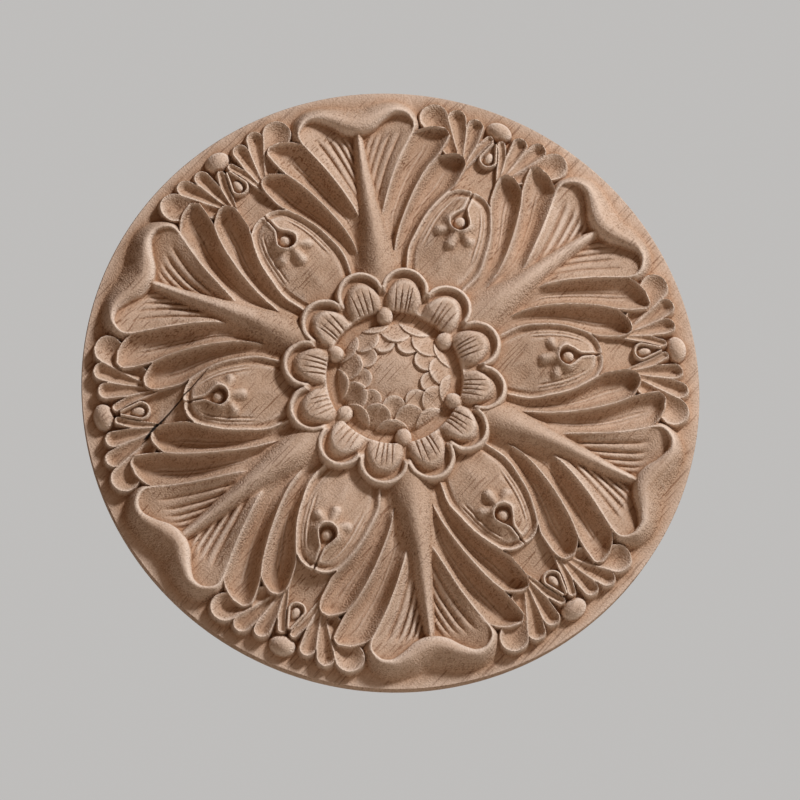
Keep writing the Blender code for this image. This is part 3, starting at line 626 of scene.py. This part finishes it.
def small_leaf(p):
    """Small leaf between two large ones: sloping ground, lobes, a drop-shaped volute and a ball."""
    ground = curve(p.t, SMALL_GROUND) * (1 - ease((p.s - curve(p.t, SMALL_REACH)) / SMALL_FADE))
    height = ground * (1 - ease((p.t - SMALL_END) / SMALL_FADE))
    height = np.maximum(height, small_lobes(p))

    round_end = np.hypot(p.s, p.t - VOLUTE_ALONG)
    from_middle = np.where(p.t < VOLUTE_ALONG, round_end, p.s + VOLUTE_TAPER * (p.t - VOLUTE_ALONG))
    off_line = (from_middle - VOLUTE_RADIUS) / VOLUTE_HALF_WIDTH
    band = VOLUTE_CREST * np.sqrt(np.clip(1 - off_line ** 2, 0, 1))
    wide, long, tall = VOLUTE_BEAD
    bead = VOLUTE_FLOOR + tall * half_ball(p.s / wide, (p.t - VOLUTE_BEAD_ALONG) / long, 1)
    volute = np.where(from_middle < VOLUTE_RADIUS, np.maximum(band, bead), band)
    in_volute = (off_line < 0) & (p.t < VOLUTE_END)
    height = np.where(in_volute, volute, np.where(p.t < VOLUTE_END, np.maximum(height, band), height))
    wide, long, tall = BALL_SIZE
    return np.maximum(height, tall * half_ball(p.s / wide, (p.t - BALL_ALONG) / long, 1))


def petal_cuts(r, turn, which):
    """Depth of the cuts that fan over the inner half of each petal, a little different in each."""
    rng = np.random.default_rng(CUT_SEED)
    petals_round = int(360 / PETAL_SPACING)
    depth = rng.uniform(*CUT_UNEVEN, petals_round)[which]
    half_width = curve(r, PETAL_CUT_HALF_WIDTH)
    total = 0
    for cut in PETAL_CUTS:
        place = cut + rng.uniform(-CUT_WANDER, CUT_WANDER, petals_round)[which]
        total = total + np.maximum(1 - np.abs(turn - place) / half_width, 0)
    return PETAL_CUT_DEPTH * depth * total * (1 - rising(r, PETAL_CUT_END))


def petals(x, y):
    """The ring of petals; its height, and the distance inside its scalloped edge."""
    r = np.hypot(x, y)
    turned = np.degrees(np.arctan2(x, y)) % 360
    which = (turned // PETAL_SPACING).astype(int) % int(360 / PETAL_SPACING)
    turn = turned % PETAL_SPACING - PETAL_SPACING / 2
    across, along = r * np.sin(np.radians(turn)), r * np.cos(np.radians(turn)) - PETAL_CENTRE
    to_side = np.abs(np.sin(np.radians(turn))) / (PETAL_RADIUS / PETAL_CENTRE)
    share = np.where(along > 0, np.hypot(across, along) / PETAL_RADIUS, to_side)
    edge = (1 - share) * PETAL_RADIUS

    at_cusp = np.exp(-((np.abs(across) / PETAL_RADIUS - 1) / PETAL_CUSP_SHARE) ** 2)
    rim_top = PETAL_RIM_TOP + PETAL_CUSP_RISE * at_cusp
    rise = rising(r, PETAL_RIM_START)
    inner_side = ease((edge - PETAL_RIM_IN) / PETAL_RIM_HALF_WIDTH)
    outer_side = PETAL_RIM_ROUND * np.clip((PETAL_RIM_IN - edge) / PETAL_RIM_IN, 0, 1) ** 2
    rim = PETAL_TROUGH + (rim_top - PETAL_TROUGH) * rise * (1 - inner_side) - outer_side
    outside = np.where(along > 0, -edge, -1.0)
    rim = rim - PETAL_OUTER_SLOPE * np.maximum(outside, 0)

    top = curve(r, PETAL_TOP) - petal_cuts(r, turn, which)
    side_inset, end_inset = PETAL_INSET
    inset = side_inset + (end_inset - side_inset) * rising(r, PETAL_NARROWS)
    up_wall = np.clip((edge - inset) / PETAL_WALL, 0, 1)
    petal = PETAL_TROUGH + (top - PETAL_TROUGH) * (1 - (1 - up_wall) ** PETAL_CURVE)
    height = np.where(edge > 0, np.maximum(rim, petal), rim)
    return RING_FLOOR + (height - RING_FLOOR) * rising(r, PETAL_INNER_EDGE), -outside


def boss(x, y):
    """Dome with rows of uneven scales that step down towards its smooth middle."""
    r = np.hypot(x, y)
    angle = np.degrees(np.arctan2(y, x))
    height = curve(r, BOSS_DOME)
    rng = np.random.default_rng(SCALE_SEED)
    scales_round = int(360 / SCALE_SPACING)
    for row in SCALE_ROWS:
        turned = (angle - row.turn + SCALE_SPACING / 2) % 360
        which = (turned // SCALE_SPACING).astype(int) % scales_round
        turn = np.radians(turned % SCALE_SPACING - SCALE_SPACING / 2)
        tip = row.tip + rng.uniform(-SCALE_WANDER, SCALE_WANDER, scales_round)[which]
        across, along = r * np.sin(turn), r * np.cos(turn) - tip - row.radius
        inside = row.radius - np.where(along < 0, np.hypot(across, along), np.abs(across))
        inside = np.maximum(inside, r - tip - SCALE_SIDE_SHARE * row.radius)
        height = height + row.step * ease(inside / SCALE_EDGE) * (1 - SCALE_FALL * ease(inside / SCALE_RUN))
    return np.where(r < BOSS_RADIUS, height, 0)


def grain_place(x, y):
    """A point's place along the grain and across it."""
    turn = np.radians(GRAIN_TURN)
    return x * np.cos(turn) + y * np.sin(turn), y * np.cos(turn) - x * np.sin(turn)


def crack(x, y):
    """How far the glue line beside the carving has opened at a point: 0 closed, 1 in its middle."""
    along, across = grain_place(x, y)
    opening = CRACK_HALF_WIDTH * np.exp(-((along - CRACK_MIDDLE) / CRACK_HALF_LENGTH) ** 2)
    hairline = rising(along, HAIRLINE_START) * (1 - rising(along, HAIRLINE_END))
    return np.exp(-((across - CRACK_LINE) / (opening + HAIRLINE_HALF_WIDTH)) ** 2) * hairline


def relief(x, y):
    """Height of the carved front above the board's face at x, y."""
    inside_border = 1 - rising(np.hypot(x, y), WANDER_END)
    seed_x, seed_y = WANDER_SEEDS
    x = x + wander(x, y, seed_x, WANDER_LENGTH, WANDER) * inside_border
    y = y + wander(x, y, seed_y, WANDER_LENGTH, WANDER) * inside_border
    p = fold(x, y)
    leaf, on_leaf = large_leaf(p)
    pod, on_pod = seed_pod(p)
    between = np.maximum(np.maximum(leaf, pod), small_leaf(p))
    height = np.where(on_leaf, leaf, np.where(on_pod, np.maximum(pod, rib(p, 0)), between))

    ring, inside_ring = petals(x, y)
    in_flower = (inside_ring > 0) | (p.r < PETAL_CENTRE - PETAL_RADIUS)
    height = np.where(in_flower, ring, np.maximum(height, ring))
    wide, long, tall = BEAD_SIZE
    bead = tall * half_ball(p.u / wide, (p.v - BEAD_ALONG) / long, 1)
    height = np.where(bead > 0, np.maximum(height, BEAD_BASE + bead), height)
    height = np.maximum(height, boss(x, y))
    marks = wander(x, y, TOOL_MARK_SEED, TOOL_MARK_LENGTH, TOOL_MARK) - CRACK_DEPTH * crack(x, y)
    return height + marks * ease(height / MARKED_HEIGHT)


def disc_grid(cells):
    """Square grid laid over the unit disc so that its cells stay alike in size; its x and y."""
    a, b = np.meshgrid(np.linspace(-1, 1, cells + 1), np.linspace(-1, 1, cells + 1))
    wide = np.abs(a) > np.abs(b)
    r = np.where(wide, a, b)
    turn = np.where(wide, b / np.where(wide, a, 1), 2 - a / np.where(wide | (b == 0), 1, b)) * np.pi / 4
    return r * np.cos(turn), r * np.sin(turn)


def blurred(grid, cells):
    """Mean of a grid over squares of the given half width in cells."""
    size = 2 * cells + 1
    for axis in (0, 1):
        padded = np.concatenate([np.repeat(grid.take([0], axis), cells + 1, axis), grid,
                                 np.repeat(grid.take([-1], axis), cells, axis)], axis)
        total = np.cumsum(padded, axis)
        n = grid.shape[axis]
        grid = (total.take(range(size, size + n), axis) - total.take(range(n), axis)) / size
    return grid


def border_loop(cells):
    """Indices of a grid's border points, in order round it."""
    index = np.arange((cells + 1) ** 2).reshape(cells + 1, cells + 1)
    return np.concatenate([index[0, :-1], index[:-1, -1], index[-1, :0:-1], index[:0:-1, 0]])


def rosette_mesh():
    """Closed fine mesh of the rosette, with masks of its arrises and recesses, for painted highlight and
    painted shade, and its open crack as attributes.
    """
    unit_x, unit_y = disc_grid(CELLS)
    x, z = unit_x * DISC_RADIUS, unit_y * DISC_RADIUS
    height = relief(x, z)
    border = border_loop(CELLS)
    height.flat[border] = -EDGE_CHAMFER

    front = np.column_stack([x.ravel(), -(BOARD_THICKNESS + height.ravel()), z.ravel()])
    side = front[border] * (1, 0, 1) - (0, EDGE_CHAMFER, 0)
    back = front[border] * (1 - EDGE_CHAMFER / DISC_RADIUS, 0, 1 - EDGE_CHAMFER / DISC_RADIUS)
    points = np.vstack([front, side, back]) * MM

    index = np.arange((CELLS + 1) ** 2).reshape(CELLS + 1, CELLS + 1)
    quads = np.stack([index[:-1, :-1], index[:-1, 1:], index[1:, 1:], index[1:, :-1]], -1).reshape(-1, 4)
    loops = [border, len(front) + np.arange(len(border)), len(front) + len(border) + np.arange(len(border))]
    faces = quads.tolist()
    for outer, inner in zip(loops[:-1], loops[1:]):
        faces += np.stack([outer, inner, np.roll(inner, -1), np.roll(outer, -1)], -1).tolist()
    faces.append(loops[-1][::-1].tolist())

    mesh = bpy.data.meshes.new("rosette_carving")
    mesh.from_pydata(points.tolist(), [], faces)
    shown = {
        # masks for the painted highlight on arrises and the painted shade in recesses
        "arris_highlight": np.clip((height - blurred(height, ARRIS_REACH)) / ARRIS_HEIGHT, 0, 1),
        "recess_shade": np.clip((blurred(height, RECESS_REACH) - height) / RECESS_DEPTH, 0, 1),
        "crack": crack(x, z),
    }
    for name, values in shown.items():
        attribute = mesh.attributes.new(name, "FLOAT", "POINT")
        attribute.data.foreach_set("value", np.pad(values.ravel(), (0, 2 * len(border))))
    return mesh


def thinned(obj, triangles):
    """Replace an object's mesh by one of about so many triangles that keeps its shape."""
    thin = obj.modifiers.new("thin", "DECIMATE")
    thin.ratio = triangles / sum(len(face.vertices) - 2 for face in obj.data.polygons)
    thin.use_collapse_triangulate = True
    depsgraph = bpy.context.evaluated_depsgraph_get()
    mesh = bpy.data.meshes.new_from_object(obj.evaluated_get(depsgraph), preserve_all_data_layers=True,
                                           depsgraph=depsgraph)
    obj.modifiers.clear()
    obj.data = mesh


def kept_inside(mesh, low, high):
    """Move the points that lie outside a box onto its sides."""
    points = np.empty(len(mesh.vertices) * 3)
    mesh.vertices.foreach_get("co", points)
    points = np.clip(points.reshape(-1, 3), low, high)
    mesh.vertices.foreach_set("co", points.ravel())
    mesh.update()


class Nodes:
    """Shorthand for building the nodes of one material, or of the world."""

    def __init__(self, owner, shader):
        owner.use_nodes = True
        self.tree = owner.node_tree
        self.shader = self.tree.nodes[shader]

    def add(self, kind, inputs=None, **settings):
        """A node with the given settings; its inputs are plain values or other nodes' outputs."""
        node = self.tree.nodes.new(kind)
        for name, value in settings.items():
            setattr(node, name, value)
        for name, value in (inputs or {}).items():
            self.set(node.inputs[name], value)
        return node

    def set(self, socket, value):
        """Give a socket a plain value, or link another node's output to it."""
        if isinstance(value, bpy.types.NodeSocket):
            self.tree.links.new(value, socket)
        else:
            socket.default_value = value

    def maths(self, operation, a, b=0.0):
        """Output of a math node."""
        return self.add("ShaderNodeMath", {0: a, 1: b}, operation=operation).outputs[0]

    def remap(self, value, low, high, to_low=0.0, to_high=1.0):
        """A value stretched from one range to another, smooth and clamped."""
        inputs = {"Value": value, "From Min": low, "From Max": high, "To Min": to_low, "To Max": to_high}
        return self.add("ShaderNodeMapRange", inputs, interpolation_type="SMOOTHSTEP").outputs[0]

    def noise(self, place, pattern):
        """A noise pattern's plain values, about 0 to 1."""
        stretched = self.add("ShaderNodeVectorMath", {0: place, 1: pattern.scale}, operation="MULTIPLY")
        inputs = {"Vector": stretched.outputs[0], "Scale": 1.0, "Detail": pattern.detail,
                  "Roughness": pattern.roughness}
        return self.add("ShaderNodeTexNoise", inputs).outputs["Fac"]

    def shown(self, place, pattern, least=0.0):
        """A noise pattern's values over the stretch that shows, from the least value up to 1."""
        return self.remap(self.noise(place, pattern), pattern.low, pattern.high, least, 1.0)

    def tinted(self, colour, tint, share):
        """A colour multiplied by a tint, as far as the share says."""
        node = self.add("ShaderNodeMix", data_type="RGBA", blend_type="MULTIPLY")
        for socket, value in zip((node.inputs[0], node.inputs[6], node.inputs[7]), (share, colour, tint)):
            self.set(socket, value)
        return node.outputs[2]

    def blended(self, colour, other, share):
        """A mix of two colours."""
        node = self.add("ShaderNodeMix", data_type="RGBA", blend_type="MIX")
        for socket, value in zip((node.inputs[0], node.inputs[6], node.inputs[7]), (share, colour, other)):
            self.set(socket, value)
        return node.outputs[2]

    def attribute(self, name):
        """A number stored on the mesh."""
        return self.add("ShaderNodeAttribute", attribute_name=name).outputs["Fac"]


def grain_space(nodes):
    """Place in the wood: along its grain, across it in the board's face, and through its thickness."""
    turn = np.radians(GRAIN_TURN)
    place = nodes.add("ShaderNodeTexCoord").outputs["Object"]
    along = nodes.add("ShaderNodeVectorMath", {0: place, 1: (np.cos(turn), 0, np.sin(turn))},
                      operation="DOT_PRODUCT").outputs["Value"]
    across = nodes.add("ShaderNodeVectorMath", {0: place, 1: (-np.sin(turn), 0, np.cos(turn))},
                       operation="DOT_PRODUCT").outputs["Value"]
    depth = nodes.add("ShaderNodeSeparateXYZ", {"Vector": place}).outputs["Y"]
    wood = nodes.add("ShaderNodeCombineXYZ", {"X": along, "Y": across, "Z": depth}).outputs[0]
    from_line = nodes.maths("SUBTRACT", across, STAVE_FIRST_LINE * MM)
    return wood, nodes.maths("DIVIDE", from_line, STAVE_WIDTH * MM)


def plain_tone(nodes, wood, stave_place):
    """Colour of the clean wood: clouds over the board, a tone for each stave, streaks along the grain."""
    colour = nodes.blended(WOOD_DEEP, WOOD_PALE, nodes.shown(wood, CLOUDS))
    stave = nodes.add("ShaderNodeTexWhiteNoise", {"W": nodes.maths("FLOOR", stave_place)},
                      noise_dimensions="1D").outputs["Value"]
    colour = nodes.tinted(colour, STAVE_TINT, stave)
    return nodes.tinted(colour, STREAK_TINT, nodes.shown(wood, STREAKS))


def vessels(nodes, wood):
    """How open the wood's vessels are at a point, 0 to 1: thin straight lines in loose clusters."""
    clusters = nodes.shown(wood, CLUSTERS, VESSELS_BETWEEN_CLUSTERS)
    return nodes.maths("MULTIPLY", nodes.shown(wood, VESSELS), clusters)


def glue_line(nodes, stave_place):
    """1 on a glue line between two staves, 0 beside it."""
    part_of_stave = nodes.maths("FRACT", nodes.maths("ADD", stave_place, 0.5))
    to_line = nodes.maths("ABSOLUTE", nodes.maths("SUBTRACT", part_of_stave, 0.5))
    return nodes.remap(nodes.maths("MULTIPLY", to_line, STAVE_WIDTH), *GLUE_HALF_WIDTH, 1.0, 0.0)


def bare_wood():
    """Unfinished light hardwood: glued staves, streaks, dark vessels, fuzzy cut slopes, with a painted
    highlight on the arrises and painted shade in the recesses.
    """
    material = bpy.data.materials.new("bare_carved_wood")
    nodes = Nodes(material, "Principled BSDF")
    wood, stave_place = grain_space(nodes)
    arris_highlight, recess_shade, open_crack = (nodes.attribute(name) for name in ("arris_highlight", "recess_shade", "crack"))
    normal = nodes.add("ShaderNodeNewGeometry").outputs["Normal"]
    facing = nodes.add("ShaderNodeSeparateXYZ", {"Vector": normal}).outputs["Y"]
    slope = nodes.remap(nodes.maths("ABSOLUTE", facing), *FACING_FRONT, 1.0, FLAT_FUZZ)
    vessel = vessels(nodes, wood)
    speckle = nodes.noise(wood, SPECKLE)

    colour = plain_tone(nodes, wood, stave_place)
    colour = nodes.tinted(colour, VESSEL_TINT, vessel)
    torn = nodes.maths("MULTIPLY", nodes.remap(speckle, SPECKLE.low, SPECKLE.high), slope)
    colour = nodes.tinted(colour, TORN_TINT, torn)
    # painted highlight on the arrises
    colour = nodes.blended(colour, PAINTED_ARRIS_HIGHLIGHT, nodes.maths("MULTIPLY", arris_highlight, ARRIS_HIGHLIGHT_SHARE))
    # painted shade in the recesses
    colour = nodes.tinted(colour, PAINTED_RECESS_SHADE, recess_shade)
    colour = nodes.tinted(colour, GLUE_TINT, glue_line(nodes, stave_place))
    colour = nodes.blended(colour, CRACK_COLOUR, nodes.remap(open_crack, *OPEN_CRACK))
    nodes.set(nodes.shader.inputs["Base Color"], colour)

    nodes.set(nodes.shader.inputs["Roughness"], nodes.remap(speckle, *ROUGHNESS_SPECKLE, *ROUGHNESS))
    nodes.shader.inputs["Specular IOR Level"].default_value = SPECULAR
    nodes.shader.inputs["Metallic"].default_value = 0.0

    # relief too fine for the mesh: torn fibres on the slopes, ripples along the grain, sunk vessels
    fibre = nodes.noise(wood, FIBRES)
    height = nodes.maths("MULTIPLY", nodes.maths("MULTIPLY", speckle, slope), TORN_HEIGHT)
    height = nodes.maths("ADD", height, nodes.maths("MULTIPLY", fibre, FIBRE_HEIGHT))
    height = nodes.maths("SUBTRACT", height, nodes.maths("MULTIPLY", vessel, VESSEL_DEPTH))
    bump = nodes.add("ShaderNodeBump", {"Strength": 1.0, "Distance": MM, "Height": height})
    nodes.set(nodes.shader.inputs["Normal"], bump.outputs[0])
    return material


def carved_rosette():
    """The finely carved rosette, in place of the plain solid."""
    rosette = bpy.data.objects.new("rosette_carving", rosette_mesh())
    bpy.context.scene.collection.objects.link(rosette)
    thinned(rosette, TRIANGLES)
    kept_inside(rosette.data, *cad_box)
    rosette.data.shade_smooth()
    rosette.data.set_sharp_from_angle(angle=np.radians(SHARP_ANGLE))
    rosette.data.materials.clear()
    rosette.data.materials.append(bare_wood())
    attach(rosette, "root")
    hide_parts("carved_rosette")


def pale_floor():
    """Plain floor well below the rosette."""
    size = FLOOR_HALF_SIZE
    mesh = bpy.data.meshes.new("floor")
    corners = [(-size, -size, 0), (size, -size, 0), (size, size, 0), (-size, size, 0)]
    mesh.from_pydata(corners, [], [(0, 1, 2, 3)])
    floor = bpy.data.objects.new("floor", mesh)
    floor.location.z = FLOOR_LEVEL
    bpy.context.scene.collection.objects.link(floor)
    material = bpy.data.materials.new("plain_floor")
    nodes = Nodes(material, "Principled BSDF")
    nodes.shader.inputs["Base Color"].default_value = FLOOR_COLOUR
    nodes.shader.inputs["Roughness"].default_value = FLOOR_ROUGHNESS
    mesh.materials.append(material)


def surround():
    """Plain room, pale behind the rosette and dim in front of it."""
    world = bpy.data.worlds.new("studio")
    bpy.context.scene.world = world
    nodes = Nodes(world, "Background")
    direction = nodes.add("ShaderNodeTexCoord").outputs["Generated"]
    back = nodes.add("ShaderNodeSeparateXYZ", {"Vector": direction}).outputs["Y"]
    room = nodes.blended(ROOM_IN_FRONT, ROOM_BEHIND, nodes.remap(back, *ROOM_CHANGES))
    nodes.set(nodes.shader.inputs["Color"], room)


def key_light():
    """One soft light from the upper right."""
    light = bpy.data.lights.new("key", "AREA")
    light.shape = "SQUARE"
    light.size = KEY_SIZE
    light.energy = KEY_POWER
    light.color = KEY_COLOUR
    key = bpy.data.objects.new("key", light)
    direction = Vector(KEY_DIRECTION).normalized()
    key.location = direction * KEY_DISTANCE
    key.rotation_euler = direction.to_track_quat("Z", "Y").to_euler()
    bpy.context.scene.collection.objects.link(key)


def photo_camera():
    """Camera at the photo's viewing angle: below the rosette and a little to its left."""
    towards = np.radians(CAMERA_TOWARDS)
    tilt = Matrix.Rotation(np.radians(CAMERA_TILT), 4, Vector((-np.sin(towards), np.cos(towards), 0)))
    roll = Matrix.Rotation(np.radians(CAMERA_ROLL), 4, "Z")
    upright = Matrix.Rotation(np.radians(90), 4, "X")
    face_to_world = Matrix.Translation((0, -BOARD_THICKNESS * MM, 0)) @ upright
    camera_data = bpy.data.cameras.new("photo_camera")
    camera_data.lens = CAMERA_LENS
    camera_data.sensor_width = SENSOR_WIDTH
    camera = bpy.data.objects.new("photo_camera", camera_data)
    eye = Matrix.Translation((*CAMERA_OFFSET, CAMERA_DISTANCE))
    camera.matrix_world = face_to_world @ (tilt @ roll).inverted() @ eye
    bpy.context.scene.collection.objects.link(camera)
    bpy.context.scene.camera = camera


photo_camera()
surround()
key_light()
pale_floor()
carved_rosette()
bpy.context.scene.view_settings.view_transform = "Standard"
